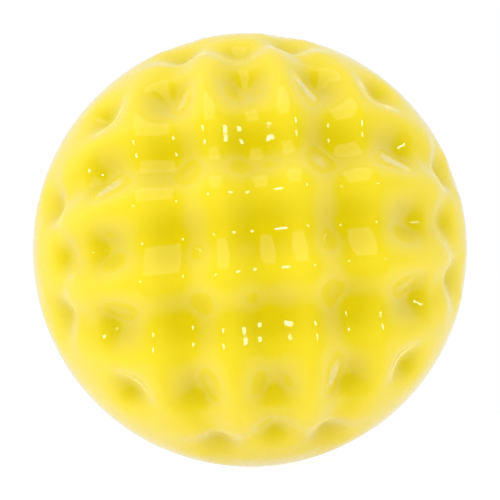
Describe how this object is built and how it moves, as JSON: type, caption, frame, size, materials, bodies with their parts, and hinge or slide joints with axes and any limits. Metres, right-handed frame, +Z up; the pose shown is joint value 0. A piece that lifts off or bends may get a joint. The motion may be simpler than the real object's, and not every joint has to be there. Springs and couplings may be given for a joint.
{
  "type": "golf ball",
  "caption": "Round glossy yellow ball with wide soft dimples in a square grid and a smooth band where its two cover halves meet.",
  "frame": {"origin": "centre of the ball", "axes": "+Z up, -Y out through the middle dimple of the front cover half, parting plane y = 0"},
  "size_m": [0.0426, 0.0412, 0.0426],
  "materials": {
    "core_rubber": "matte",
    "mantle_ionomer": "satin",
    "cover_ionomer": "gloss"
  },
  "bodies": {
    "root": {"core": "core_rubber", "mantle": "mantle_ionomer", "cover_front": "cover_ionomer", "cover_back": "cover_ionomer"}
  },
  "joints": []
}
